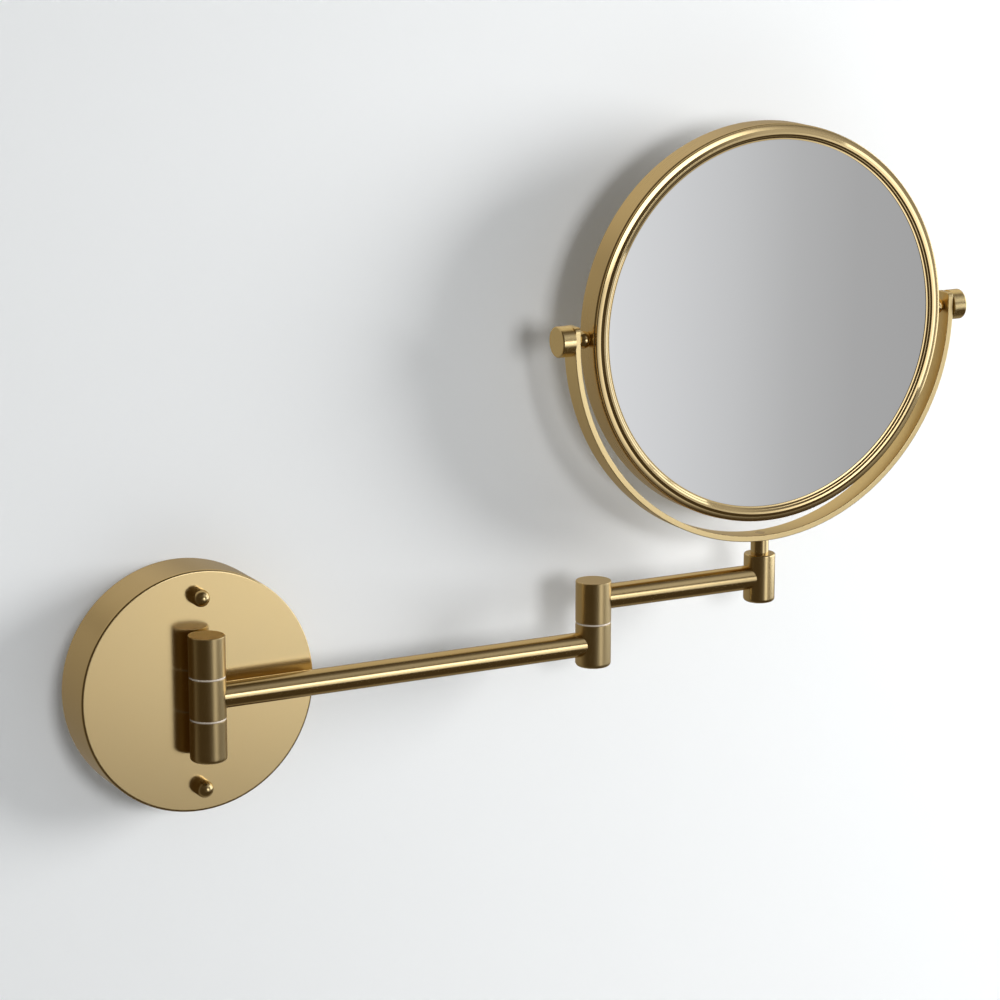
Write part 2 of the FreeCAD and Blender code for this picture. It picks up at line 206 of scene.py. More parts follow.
def blank(name):
    """New material with its nodes and its surface."""
    finish = bpy.data.materials.new(name)
    finish.use_nodes = True
    return finish, finish.node_tree, finish.node_tree.nodes["Principled BSDF"]


def dress(tree, shader, colour, roughness, metal=0.0):
    """Feeds a surface its colour and roughness."""
    tree.links.new(colour, shader.inputs["Base Color"])
    tree.links.new(roughness, shader.inputs["Roughness"])
    shader.inputs["Metallic"].default_value = metal


def relief(tree, shader, height, strength, depth):
    """Gives a surface a fine relief."""
    bump = add(tree, "ShaderNodeBump", {"Height": height, "Strength": strength, "Distance": depth})
    tree.links.new(bump.outputs[0], shader.inputs["Normal"])


brass_dark, brass_light, brass_worn = (0.75, 0.565, 0.275, 1), (0.80, 0.625, 0.325, 1), (0.86, 0.70, 0.40, 1)
blotch_scale, rub_scale = 26.0, 420.0
grain_sweep, gloss_swing = 0.003, 0.06


def finish_brass(tree, shader, place, lines, roughness, depth, painted_light_gain=1.0):
    """Colour, gloss and relief of a brass surface from its tool lines; the gain paints the colour lighter or
    darker, as painted light and shade.
    """
    blotch = noise(tree, place, blotch_scale, detail=3.0)
    rub = noise(tree, place, rub_scale, detail=2.0)
    edge = add(tree, "ShaderNodeAttribute", attribute_name="edge").outputs["Fac"]
    wear = maths(tree, "MULTIPLY", edge, rub)
    # The gain makes the same brass lighter or darker on each piece: painted light and shade, not a different
    # alloy.
    low, high = [tuple(min(level * painted_light_gain, 1.0) for level in colour) for colour in (brass_dark, brass_light)]
    tone = blend(tree, blotch, low, high)
    gloss = scaled(tree, blotch, gloss_swing, roughness - gloss_swing)
    gloss = scaled(tree, lines, gloss_swing, gloss)
    gloss = scaled(tree, wear, -gloss_swing, gloss)
    dress(tree, shader, blend(tree, wear, tone, brass_worn), gloss, metal=1.0)
    relief(tree, shader, lines, strength=1.0, depth=depth)


def brass(name, centre, axis, roughness, grain=2600.0, depth=3e-6, painted_light_gain=1.0):
    """Brass with tool lines round an axis, soft blotches from handling and rubbed, brighter edges, in a
    colour painted lighter or darker per piece as painted light and shade.
    """
    finish, tree, shader = blank(name)
    flat = Vector((1, 1, 1)) - Vector(map(abs, axis))
    place = own_place(tree)
    local = vector(tree, "SUBTRACT", place, centre * MM)
    height = vector(tree, "DOT_PRODUCT", local, axis)
    across = vector(tree, "MULTIPLY", local, flat)
    radius = vector(tree, "LENGTH", across)
    swept = lengthened(tree, vector(tree, "NORMALIZE", across), grain_sweep)
    spot = vector(tree, "MULTIPLY_ADD", radius, axis, swept)
    lines = add(tree, "ShaderNodeTexNoise", {"Vector": spot, "W": height, "Scale": grain, "Detail": 2.0},
                noise_dimensions="4D").outputs["Fac"]
    finish_brass(tree, shader, place, lines, roughness, depth, painted_light_gain)
    return finish


def fit(piece, finish, body, slot, *nodes):
    """Gives a finished piece its material and puts it in the place of its CAD nodes."""
    piece.data.materials.clear()
    piece.data.materials.append(finish)
    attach(piece, body)
    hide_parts(*nodes)


cover_radius, cover_depth, cover_wall = 60.0, 26.5, 1.5
stud_height, post_height = 47.5, 20.8
stud_hole, post_hole, drill_lead = 2.9, 2.4, 1.0
cover_floor = cover_depth - cover_wall
cover_inner = cover_radius - cover_wall
cover = turned("cover_cup", [
    (cover_radius, 0, 0.15), (cover_radius, cover_depth, 1.0), (0, cover_depth), (0, cover_floor),
    (cover_inner, cover_floor, 0.8), (cover_inner, 0, 0.15)], zero, ROOM, steps=320)
drilled(cover, *[drill(UP * side * height, ROOM, radius, cover_floor - drill_lead, cover_depth + drill_lead)
                 for side in (1, -1)
                 for height, radius in ((stud_height, stud_hole), (post_height, post_hole))])
cover_brass = brass("spun satin brass", zero, ROOM, roughness=0.19, grain=6000.0, depth=6e-7)
fit(cover, cover_brass, "wall_mount", "satin_brass", "wall_cover")

# Wall bracket, backing plate and springs: pressed from zinc plated steel sheet.
# The bracket is screwed to the wall through its slots; the plate stiffens the cover's face.
# The studs of the tilt pivots are plated in the same way.
zinc_dark, zinc_light = (0.50, 0.51, 0.53, 1), (0.66, 0.655, 0.62, 1)


def zinc_plate(name):
    """Bright zinc with the faint mottled bloom of passivated plating."""
    finish, tree, shader = blank(name)
    place = own_place(tree)
    bloom = noise(tree, place, scale=130.0, detail=4.0)
    speck = add(tree, "ShaderNodeTexVoronoi", {"Vector": place, "Scale": 900.0}).outputs["Distance"]
    gloss = scaled(tree, bloom, factor=0.22, offset=0.26)
    dress(tree, shader, blend(tree, bloom, zinc_dark, zinc_light), gloss, metal=1.0)
    relief(tree, shader, speck, strength=0.3, depth=1e-5)
    return finish


def coat(finish, *nodes):
    """Material for CAD nodes whose own shape is kept."""
    for node in nodes:
        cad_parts[node].data.materials.clear()
        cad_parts[node].data.materials.append(finish)


zinc = zinc_plate("zinc plated steel")
coat(zinc, "wall_bracket", "backing_plate", "hinge_spring_washer", "elbow_spring_washer",
     "stem_spring_washer", "pivot_spring_washers", "pivot_studs")


# Bracket studs and cap nuts: two threaded steel studs carry domed nuts of polished brass,
# which clamp the cover to the bracket. Each pair is one turned piece set twice, above and below.
def row_tree():
    """Geometry Nodes tree that sets like pieces at even steps, each turned on from the last."""
    tree = bpy.data.node_groups.new("row of like pieces", "GeometryNodeTree")
    sockets = {}
    for name, kind in (("Piece", "Object"), ("Count", "Int"), ("Start", "Vector"), ("Step", "Vector"),
                       ("Turn", "Vector"), ("Finish", "Material")):
        socket = tree.interface.new_socket(name, in_out="INPUT", socket_type="NodeSocket" + kind)
        sockets[name] = socket.identifier
    tree.interface.new_socket("Geometry", in_out="OUTPUT", socket_type="NodeSocketGeometry")
    given = add(tree, "NodeGroupInput").outputs
    index = add(tree, "GeometryNodeInputIndex").outputs[0]
    spot = vector(tree, "ADD", given["Start"], lengthened(tree, given["Step"], index))
    turn = lengthened(tree, given["Turn"], index)
    points = add(tree, "GeometryNodePoints", {"Count": given["Count"], "Position": spot}).outputs[0]
    shape = add(tree, "GeometryNodeObjectInfo",
                {"Object": given["Piece"], "As Instance": True}).outputs["Geometry"]
    placed = add(tree, "GeometryNodeInstanceOnPoints",
                 {"Points": points, "Instance": shape, "Rotation": turn}).outputs[0]
    solid = add(tree, "GeometryNodeRealizeInstances", {0: placed}).outputs[0]
    dressed = add(tree, "GeometryNodeSetMaterial",
                  {"Geometry": solid, "Material": given["Finish"]}).outputs[0]
    add(tree, "NodeGroupOutput", {0: dressed})
    return tree, sockets


row, row_sockets = row_tree()


def pair(name, piece, start, step, turn, finish):
    """Two like pieces as one plain mesh; places in mm."""
    host = in_scene(name, bpy.data.meshes.new(name))
    setting = host.modifiers.new("row", "NODES")
    setting.node_group = row
    for key, value in (("Piece", piece), ("Count", 2), ("Start", start * MM), ("Step", step * MM),
                       ("Turn", turn), ("Finish", finish)):
        setting[row_sockets[key]] = value
    settled(host)
    bpy.data.objects.remove(piece)
    return host


def above_and_below(name, piece, height, finish):
    """A piece of the wall mount set twice, as high above the middle as below it."""
    return pair(name, piece, UP * height, -UP * 2 * height, zero, finish)


def threaded(radius, start, end):
    """Section of a screw thread along a stud."""
    turns = []
    for i in range(int((end - start) / thread_pitch)):
        turns += [(radius - thread_depth, start + i * thread_pitch),
                  (radius, start + (i + 0.5) * thread_pitch)]
    return turns + [(radius - thread_depth, end)]


thread_pitch, thread_depth = 0.8, 0.45
nut_radius, nut_body, nut_bore, nut_crown = 4.3, 4.2, 2.55, 1.2
stud_radius, stud_plain, stud_thread = 2.5, 3.0, 3.2
stud_length = cover_depth + nut_body
stud = turned("stud", [(0, 0), (stud_radius, 0, 0.1), (stud_radius, stud_plain)] +
              threaded(stud_radius, stud_thread, stud_length) + [(0, stud_length)], zero, ROOM, steps=40)
studs = above_and_below("threaded_studs", stud, stud_height, zinc)
fit(studs, zinc, "wall_mount", "zinc_steel", "bracket_studs")


def polished(name, roughness):
    """Brass buffed to a high polish, with hairline swirls."""
    finish, tree, shader = blank(name)
    place = own_place(tree)
    swirl = noise(tree, place, scale=2200.0, detail=2.0, distortion=1.5)
    finish_brass(tree, shader, place, swirl, roughness, depth=4e-7)
    return finish


def dome(across, height, radius, start, end, count=16):
    """Points round part of a circle in a section; angles in degrees from the outward radius."""
    angles = [math.radians(start + (end - start) * i / count) for i in range(count + 1)]
    return [(across + radius * math.cos(a), height + radius * math.sin(a)) for a in angles]


dome_seam, dome_end = 0.01, 88
buffed = polished("buffed brass", roughness=0.20)
nut = turned("nut", [
    (nut_bore, cover_depth), (nut_radius, cover_depth, 0.15), (nut_radius, stud_length - dome_seam),
    *dome(0, stud_length, nut_radius, 0, dome_end), (0, stud_length + nut_radius),
    (0, stud_length + nut_crown), (nut_bore, stud_length + nut_crown)], zero, ROOM, steps=96)
nuts = above_and_below("domed_nuts", nut, stud_height, buffed)
fit(nuts, buffed, "wall_mount", "polished_brass", "cap_nuts")

# Hinge posts and their screws: two short brass posts stand the hinge off the cover's face.
# Socket-headed steel screws pass from inside the cover into threads in the posts.
post_radius, post_bore, post_end = 4.5, 2.05, 31.15
post = turned("post", [(post_bore, cover_depth), (post_radius, cover_depth, 0.2),
                       (post_radius, post_end, 0.2), (post_bore, post_end)], zero, ROOM, steps=96)
posts = above_and_below("standoff_posts", post, post_height, buffed)
fit(posts, buffed, "wall_mount", "polished_brass", "hinge_posts")

thread_runout, socket_share = 0.4, 0.6


def socket_screw(name, origin, axis, radius, head_radius, head_start, head_end, tip, key):
    """Screw with a plain head and a six-sided key socket."""
    screw = turned(name, [
        (0, head_start), (head_radius, head_start, 0.35), (head_radius, head_end, 0.15), (radius, head_end),
        *threaded(radius, head_end + thread_runout, tip - thread_runout), (0, tip)], origin, axis, steps=96)
    socket_end = head_start + (head_end - head_start) * socket_share
    return drilled(screw, drill(origin, axis, key, head_start - drill_lead, socket_end, steps=6))


screw_radius, screw_head, screw_head_height, screw_key = 2.0, 3.8, 2.6, 1.73
plate_thickness, post_screw_tip = 2.0, 30.7
screw_seat = cover_floor - plate_thickness
screw = socket_screw("screw", zero, ROOM, screw_radius, screw_head, screw_seat - screw_head_height,
                     screw_seat, post_screw_tip, screw_key)
screws = above_and_below("post_fixing_screws", screw, post_height, zinc)
fit(screws, zinc, "wall_mount", "zinc_steel", "post_screws")

# Upper and lower hinge knuckles: turned from brass bar and brushed, each carried by its own post.
# The lower one hides the head of the hinge pin, which screws up into the blind upper one.
# The top end is faced finer than the sides are turned, so it is glossier and darker from the front; its
# colour there is painted a deeper brass, as painted shade. All their brass is painted a little darker too:
# painted shade.
hinge_depth, hinge_top, hinge_base = 36.7, 30.7, -31.3
hinge = ROOM * hinge_depth
knuckle_radius, knuckle_height, knuckle_cap = 9.0, 19.8, 5.95
pin_bore, pin_sink, pin_sink_radius = 3.05, 5.55, 5.2
upper_base = hinge_top - knuckle_height


def capped_knuckle(name, origin, base, top):
    """Knuckle with a closed top and a threaded bore from below."""
    ceiling = top - knuckle_cap
    return turned(name, [(pin_bore, base), (knuckle_radius, base, 0.15), (knuckle_radius, top, 0.4), (0, top),
                         (0, ceiling), (pin_bore, ceiling)], origin, UP)


def sunk_knuckle(name, origin, base, top, bore):
    """Knuckle whose rounded foot has a sink for the head of a pin."""
    floor = base + pin_sink
    return turned(name, [(bore, top), (bore, floor), (pin_sink_radius, floor), (pin_sink_radius, base, 0.2),
                         (knuckle_radius, base, 1.8), (knuckle_radius, top, 0.15)], origin, UP)


turned_brass = brass("turned hinge brass", hinge, UP, roughness=0.31, painted_light_gain=0.88)
# The top end's deeper brass colour is painted shade on the top face; its lower roughness is the finer facing.
painted_top_shade_tone, end_gloss, end_depth = (0.74, 0.51, 0.18, 1), 0.16, 0.02
tree = turned_brass.node_tree
shader = tree.nodes["Principled BSDF"]
height = add(tree, "ShaderNodeSeparateXYZ", {0: own_place(tree)}).outputs["Z"]
end = maths(tree, "GREATER_THAN", height, (hinge_top - end_depth) * MM)
tone, gloss = [shader.inputs[socket].links[0].from_socket for socket in ("Base Color", "Roughness")]
dress(tree, shader, blend(tree, end, tone, painted_top_shade_tone), scaled(tree, end, -end_gloss, gloss), metal=1.0)

upper_knuckle = capped_knuckle("hinge_knuckle_upper", hinge, upper_base, hinge_top)
fit(upper_knuckle, turned_brass, "wall_mount", "polished_brass", "upper_hinge_knuckle")
lower_knuckle = sunk_knuckle("hinge_knuckle_lower", hinge, hinge_base, -upper_base, pin_bore)
fit(lower_knuckle, turned_brass, "wall_mount", "polished_brass", "lower_hinge_knuckle")

# Hinge pin and nylon rings: a shouldered steel screw is the hinge's axis, driven from below.
# White nylon rings between the knuckles keep brass from rubbing on brass.
pin_radius, pin_head, pin_head_height, pin_key, pin_recess = 3.0, 4.8, 3.5, 2.31, 1.1
hinge_pin_tip = 24.7


def hinge_screw(name, origin, base, tip):
    """Screw whose head lies in the sink of a knuckle's foot."""
    head_start = base + pin_recess
    return socket_screw(name, origin, UP, pin_radius, pin_head, head_start, head_start + pin_head_height, tip,
                        pin_key)


pin = hinge_screw("hinge_pin_screw", hinge, hinge_base, hinge_pin_tip)
fit(pin, zinc, "wall_mount", "zinc_steel", "hinge_pin")


def plastic(name, low, high, roughness, scale):
    """Moulded or turned plastic with a fine, uneven sheen."""
    finish, tree, shader = blank(name)
    cloud = noise(tree, own_place(tree), scale, detail=4.0)
    dress(tree, shader, blend(tree, cloud, low, high), scaled(tree, cloud, factor=0.16, offset=roughness))
    relief(tree, shader, cloud, strength=0.4, depth=8e-6)
    return finish


# The nylon is set darker and warmer than white nylon: painted shade, as it lies between brass knuckles.
nylon = plastic("white nylon", (0.62, 0.54, 0.44, 1), (0.72, 0.64, 0.54, 1), roughness=0.36, scale=900.0)
nylon_radius, nylon_bore, nylon_thickness, running_gap = 8.75, 3.4, 1.0, 0.02
knuckle_half = 9.9


def nylon_ring(name, origin, base):
    """Ring with a running clearance to the knuckles on both faces."""
    low, high = base + running_gap, base + nylon_thickness - running_gap
    return turned(name, [(nylon_bore, low), (nylon_radius, low, 0.12), (nylon_radius, high, 0.12),
                         (nylon_bore, high)], origin, UP)


rings = pair("nylon_rings", nylon_ring("ring", zero, 0), hinge + UP * knuckle_half,
             -UP * (2 * knuckle_half + nylon_thickness), zero, nylon)
fit(rings, nylon, "wall_mount", "white_nylon", "hinge_washers")

# Inner arm: a drawn brass tube brazed into a hinge knuckle and an elbow knuckle over tenon plugs.
# Both knuckles run on acetal bushes; the tube's ends are coped to the round of the knuckles.
bush_bore = 4.6
tube_radius, tube_bore, cope_gap = 6.3, 5.1, 0.05
inner_length = 210.0
elbow = hinge + RIGHT * inner_length
middle_knuckle = turned("hinge_knuckle_middle", [
    (bush_bore, -knuckle_half), (knuckle_radius, -knuckle_half, 0.15), (knuckle_radius, knuckle_half, 0.15),
    (bush_bore, knuckle_half)], hinge, UP)
fit(middle_knuckle, turned_brass, "inner_arm", "polished_brass", "arm_hinge_knuckle")


def bridged(mesh, loops):
    """Faces between each loop of corners and the next."""
    for near, far in zip(loops, loops[1:]):
        for i in range(len(near)):
            j = (i + 1) % len(near)
            mesh.faces.new((near[i], near[j], far[j], far[i]))


def coped_tube(name, start, length, start_knuckle, end_knuckle, steps=128):
    """Tube along +X whose ends follow the round of the knuckles that they meet."""
    mesh = bmesh.new()
    rings = []
    for radius, knuckle, end in ((tube_radius, start_knuckle, 0), (tube_radius, end_knuckle, 1),
                                 (tube_bore, end_knuckle, 1), (tube_bore, start_knuckle, 0)):
        ring = []
        for i in range(steps):
            angle = 2 * math.pi * i / steps
            depth, rise = radius * math.cos(angle), radius * math.sin(angle)
            cope = math.sqrt((knuckle + cope_gap) ** 2 - depth ** 2)
            along = length - cope if end else cope
            ring.append(mesh.verts.new((start + Vector((along, depth, rise))) * MM))
        rings.append(ring)
    bridged(mesh, rings + rings[:1])
    return closed_mesh(name, mesh)


draw_stretch = (0.02, 1.0, 1.0)


def drawn_brass(name, roughness):
    """Brass tube with fine draw lines along its length."""
    finish, tree, shader = blank(name)
    place = own_place(tree)
    lines = noise(tree, vector(tree, "MULTIPLY", place, draw_stretch), scale=2600.0, detail=2.0)
    finish_brass(tree, shader, place, lines, roughness, depth=2e-6)
    return finish


tube_brass = drawn_brass("drawn tube brass", roughness=0.17)
inner_tube = coped_tube("inner_tube", hinge, inner_length, knuckle_radius, knuckle_radius)
fit(inner_tube, tube_brass, "inner_arm", "polished_brass", "inner_arm_tube")

elbow_base, elbow_half = -11.6, 10.6
# The elbow's brass is painted a little darker than plain brass: painted shade.
elbow_brass = brass("turned elbow brass", elbow, UP, roughness=0.31, painted_light_gain=0.93)
elbow_lower = sunk_knuckle("elbow_knuckle_lower", elbow, elbow_base, elbow_half, bush_bore)
fit(elbow_lower, elbow_brass, "inner_arm", "polished_brass", "lower_elbow_knuckle")

acetal = plastic("black acetal", (0.012, 0.012, 0.013, 1), (0.03, 0.03, 0.032, 1), roughness=0.3, scale=700.0)
coat(acetal, "hinge_bush", "elbow_bush", "core_ring")
coat(buffed, "inner_arm_plugs", "outer_arm_plugs", "wrist_bush", "pivot_inserts")

# Outer arm: the upper elbow knuckle turns on the lower one over a nylon ring, held by a screw from below.
# A shorter tube of the same stock runs from it to the wrist, which takes the stem of the yoke.
upper_elbow_base, upper_elbow_top, elbow_pin_tip = 11.6, 32.6, 26.6
outer_height, outer_length = 23.3, 97.5
elbow_upper = capped_knuckle("elbow_knuckle_upper", elbow, upper_elbow_base, upper_elbow_top)
fit(elbow_upper, elbow_brass, "outer_arm", "polished_brass", "upper_elbow_knuckle")
elbow_ring = nylon_ring("elbow_nylon_ring", elbow, elbow_half)
fit(elbow_ring, nylon, "outer_arm", "white_nylon", "elbow_washer")
elbow_pin = hinge_screw("elbow_pin_screw", elbow, elbow_base, elbow_pin_tip)
fit(elbow_pin, zinc, "outer_arm", "zinc_steel", "elbow_screw")

wrist = elbow + RIGHT * outer_length
wrist_radius, wrist_base, wrist_top = 8.1, 10.3, 35.6
wrist_bore, wrist_hole, wrist_sink_radius = 5.65, 2.4, 4.2
wrist_sink, wrist_floor = 14.65, 16.35
outer_tube = coped_tube("outer_tube", elbow + UP * outer_height, outer_length, knuckle_radius, wrist_radius)
fit(outer_tube, tube_brass, "outer_arm", "polished_brass", "outer_arm_tube")
wrist_brass = brass("turned wrist brass", wrist, UP, roughness=0.19)
wrist_piece = turned("wrist_socket", [
    (wrist_bore, wrist_top), (wrist_bore, wrist_floor), (wrist_hole, wrist_floor), (wrist_hole, wrist_sink),
    (wrist_sink_radius, wrist_sink), (wrist_sink_radius, wrist_base, 0.2), (wrist_radius, wrist_base, 1.8),
    (wrist_radius, wrist_top, 0.8)], wrist, UP)
fit(wrist_piece, wrist_brass, "outer_arm", "polished_brass", "wrist_knuckle")

# Yoke: a flat brass band bent to a half round, riveted to a turned stem that swivels in the wrist.
# The stem's top and its spigot follow the round of the band, and a screw from below keeps it in the wrist.
# The band is brushed along its length.
yoke_inner, yoke_outer, yoke_half_width = 108.6, 111.6, 6.0
yoke_leg, yoke_corner, yoke_edge, yoke_height = 8.3, 2.5, 0.35, 154.8
yoke_centre = wrist + UP * yoke_height
stem_radius, spigot_radius, stem_thread, stem_thread_top = 4.65, 2.5, 2.05, 26.35
stem_top, spigot_top, stem_gap = 43.5, 46.5, 0.05
stem = turned("yoke_swivel_stem", [
    (stem_thread, wrist_floor), (stem_radius, wrist_floor, 0.3), (stem_radius, stem_top),
    (spigot_radius, stem_top), (spigot_radius, spigot_top), (0, spigot_top), (0, stem_thread_top),
    (stem_thread, stem_thread_top)], wrist, UP, steps=96)
for vertex in stem.data.vertices:
    level = round(vertex.co.z / MM, 3)
    if level in (stem_top, spigot_top):
        reach = yoke_outer + stem_gap if level == stem_top else yoke_inner
        sideways = vertex.co.x / MM - wrist.x
        vertex.co.z = (yoke_centre.z - math.sqrt(reach ** 2 - sideways ** 2)) * MM
fit(stem, wrist_brass, "yoke", "polished_brass", "yoke_stem")
stem_screw_start, stem_screw_seat, stem_screw_tip = 11.1, 13.7, 25.85
stem_bolt = socket_screw("stem_fixing_screw", wrist, UP, screw_radius, screw_head, stem_screw_start,
                         stem_screw_seat, stem_screw_tip, screw_key)
fit(stem_bolt, zinc, "yoke", "zinc_steel", "stem_screw")

end_steps, corner_steps, corner_lead, arc_steps = 4, 8, 0.15, 144


def band_path():
    """Stations along the band: outward direction, lift, half width and inset from the full section."""
    ends = []
    for i in range(end_steps + 1):
        angle = math.radians(90 / end_steps * i)
        ends.append((yoke_edge * (1 - math.cos(angle)), yoke_edge * (1 - math.sin(angle))))
    ends += [(yoke_edge + (yoke_corner - yoke_edge) * (i / corner_steps), 0.0)
             for i in range(1, corner_steps + 1)]
    ends += [(yoke_corner + corner_lead, 0.0), (yoke_leg, 0.0)]
    leg = []
    for down, inset in ends:
        short = max(yoke_corner - down, 0.0)
        width = yoke_half_width - yoke_corner + math.sqrt(yoke_corner ** 2 - short ** 2)
        leg.append((yoke_leg - down, width, inset))
    arc = [math.radians(180 + 180 / arc_steps * i) for i in range(1, arc_steps)]
    return ([(Vector((-1, 0)), *station) for station in leg] +
            [(Vector((math.cos(a), math.sin(a))), 0.0, yoke_half_width, 0.0) for a in arc] +
            [(Vector((1, 0)), *station) for station in reversed(leg)])


def yoke_mesh():
    """Half-round band with straight legs, rounded ends and softened edges."""
    mesh = bmesh.new()
    worn = mesh.verts.layers.float.new("edge")
    loops = []
    for out, lift, width, inset in band_path():
        outer, inner, half = yoke_outer - inset, yoke_inner + inset, width - inset
        outline = [(outer, half, yoke_edge), (inner, half, yoke_edge),
                   (inner, -half, yoke_edge), (outer, -half, yoke_edge)]
        loop = []
        for (radius, deep), mark in rounded(outline):
            place = yoke_centre + RIGHT * out.x * radius + UP * (out.y * radius + lift) + BACK * deep
            loop.append(mesh.verts.new(place * MM))
            loop[-1][worn] = mark
        loops.append(loop)
    bridged(mesh, loops)
    mesh.faces.new(loops[0])
    mesh.faces.new(loops[-1])
    return closed_mesh("yoke_half_round", mesh)


pivot_height, pivot_bore, pivot_drill = 155.8, 2.05, (-120, 120)
head = wrist + UP * pivot_height
spigot_hole, spigot_drill = 2.55, (100, 115)
yoke = yoke_mesh()
drilled(yoke, drill(head, RIGHT, pivot_bore, *pivot_drill),
        drill(yoke_centre, -UP, spigot_hole, *spigot_drill))
# The band's brass is painted much lighter than plain brass: painted light.
yoke_brass = brass("brushed band brass", yoke_centre, ROOM, roughness=0.30, painted_light_gain=1.32)
fit(yoke, yoke_brass, "yoke", "satin_brass", "yoke_band")

# Mirror frame: a satin hoop with a polished, ridged ring pressed into each side to hold the two glasses.
# Inside it an acetal ring keeps the glasses apart on rubber pads.
# The hoop's rounded front edge stands back from the front ring and leaves a groove.
hoop_outer, hoop_inner, hoop_edge = 101.7, 100.5, 7.4
groove_edge, hoop_round = 6.5, 1.0
hoop = turned("hoop_band", [
    (hoop_inner, -hoop_edge, 0.1), (hoop_outer, -hoop_edge, 0.3), (hoop_outer, groove_edge, hoop_round),
    (hoop_inner, groove_edge, 0.1)], head, ROOM, steps=384)
# The hoop's brass is painted a little lighter than plain brass: painted light.
hoop_brass = brass("brushed hoop brass", head, ROOM, roughness=0.28, painted_light_gain=1.08)
fit(hoop, hoop_brass, "mirror_head", "satin_brass", "frame_hoop")

skirt_outer, skirt_inner, skirt_end = 100.45, 98.85, 5.0
edge_centre, edge_height, edge_round, edge_sweep = 100.85, 7.87, 0.55, 82
slope_radius, slope_height = 98.9, 8.58
ridge_outer, ridge_inner, ridge_height, ridge_fall = 97.4, 96.4, 9.3, 0.12
step_outer, step_inner, step_height, step_fall = 95.55, 95.25, 8.5, 0.055
lip_outer, sight_radius, lip_height, lip_fall = 94.45, 93.65, 7.75, 0.096


def ridged_ring(name, facing):
    """Ring with a round shoulder, a ridge, a fine step, a slim lip at the glass, and a skirt in the hoop."""
    return turned(name, [
        (skirt_outer, hoop_edge), (edge_centre + edge_round, hoop_edge),
        *dome(edge_centre, edge_height, edge_round, 0, edge_sweep, count=8),
        (slope_radius, slope_height, 0.25), (ridge_outer, ridge_height, 0.25),
        (ridge_inner, ridge_height - ridge_fall, 0.2), (step_outer, step_height, 0.06),
        (step_inner, step_height - step_fall, 0.06), (lip_outer, lip_height, 0.12),
        (sight_radius, lip_height - lip_fall, 0.06), (sight_radius, hoop_edge), (skirt_inner, hoop_edge),
        (skirt_inner, skirt_end), (skirt_outer, skirt_end)], head, facing, steps=384)


# The rings' brass is painted a little lighter than plain brass: painted light.
bezel_brass = brass("polished ring brass", head, ROOM, roughness=0.09, grain=3000.0, depth=2e-7, painted_light_gain=1.06)
for name, facing, node in (("glass_ring_front", ROOM, "front_bezel"),
                           ("glass_ring_rear", BACK, "rear_bezel")):
    fit(ridged_ring(name, facing), bezel_brass, "mirror_head", "polished_brass", node)

rubber = plastic("black rubber", (0.010, 0.010, 0.010, 1), (0.022, 0.021, 0.020, 1), roughness=0.62,
                 scale=1500.0)
coat(rubber, "front_pad", "rear_pad")

# Glasses: plain float glass in front and a bent, magnifying glass behind, both silvered.
# Each lies against the back of its ridged ring.
glass_radius, glass_front, glass_back, glass_sag = 98.45, 7.35, 4.35, 5.4
bend = (glass_radius ** 2 + glass_sag ** 2) / (2 * glass_sag)
silver_tone, rim_tone = (0.665, 0.675, 0.67, 1), (0.58, 0.595, 0.585, 1)
rim_start, rim_end = 92.5, 98.5


def silvered(name):
    """Silver behind clear glass, a little duller at the rim and with the faintest wiping marks."""
    finish, tree, shader = blank(name)
    place = own_place(tree)
    local = vector(tree, "SUBTRACT", place, head * MM)
    radius = vector(tree, "LENGTH", vector(tree, "MULTIPLY", local, RIGHT + UP))
    rim = add(tree, "ShaderNodeMapRange", {"Value": radius, "From Min": rim_start * MM,
                                           "From Max": rim_end * MM}).outputs[0]
    wiped = noise(tree, place, scale=14.0, detail=3.0)
    gloss = scaled(tree, wiped, factor=0.012, offset=0.004)
    dress(tree, shader, blend(tree, rim, silver_tone, rim_tone), gloss, metal=1.0)
    return finish


def bent(radius):
    """Depth of the magnifying glass's curve, from its rim."""
    return math.sqrt(bend ** 2 - radius ** 2) - math.sqrt(bend ** 2 - glass_radius ** 2)


silver = silvered("silvered glass")
front = turned("glass_plain", [(0, glass_back), (glass_radius, glass_back, 0.3),
                               (glass_radius, glass_front, 0.3), (0, glass_front)], head, ROOM, steps=256)
fit(front, silver, "mirror_head", "silvered_glass", "front_glass")
bowl_steps = 40
bowl_radii = [glass_radius * i / bowl_steps for i in range(bowl_steps + 1)]
rear = turned("glass_magnifying", [(r, glass_front - bent(r)) for r in bowl_radii] +
              [(r, glass_back - bent(r)) for r in reversed(bowl_radii)], head, BACK, steps=256)
fit(rear, silver, "mirror_head", "silvered_glass", "rear_glass")

# Tilt pivots: turned beads space the mirror from the yoke, and plain round knobs outside it clamp the tilt.
# Threaded studs join them through the hoop and the yoke's ends.
half_turn = Vector((0, 0, math.pi))
spacer_start, spacer_end, spacer_neck = 101.75, 108.4, 2.7
ball_radius, ball_offset = 4.4, 2.6
ball_middle = spacer_start + ball_offset
ball_foot = -math.degrees(math.asin((ball_middle - spacer_start) / ball_radius))
ball_neck = math.degrees(math.acos(spacer_neck / ball_radius))
pivot_brass = brass("turned pivot brass", head, RIGHT, roughness=0.13)
spacer = turned("spacer", [
    (pivot_bore, spacer_start), *dome(0, ball_middle, ball_radius, ball_foot, ball_neck, count=24),
    (spacer_neck, spacer_end), (pivot_bore, spacer_end)], zero, RIGHT, steps=96)
spacers = pair("pivot_beads", spacer, head, zero, half_turn, pivot_brass)
fit(spacers, pivot_brass, "mirror_head", "polished_brass", "pivot_spacers")

knob_radius, knob_start, knob_end, knob_floor = 7.8, 111.8, 119.2, 117.05
knob_sink_radius, knob_sink = 4.85, 112.7
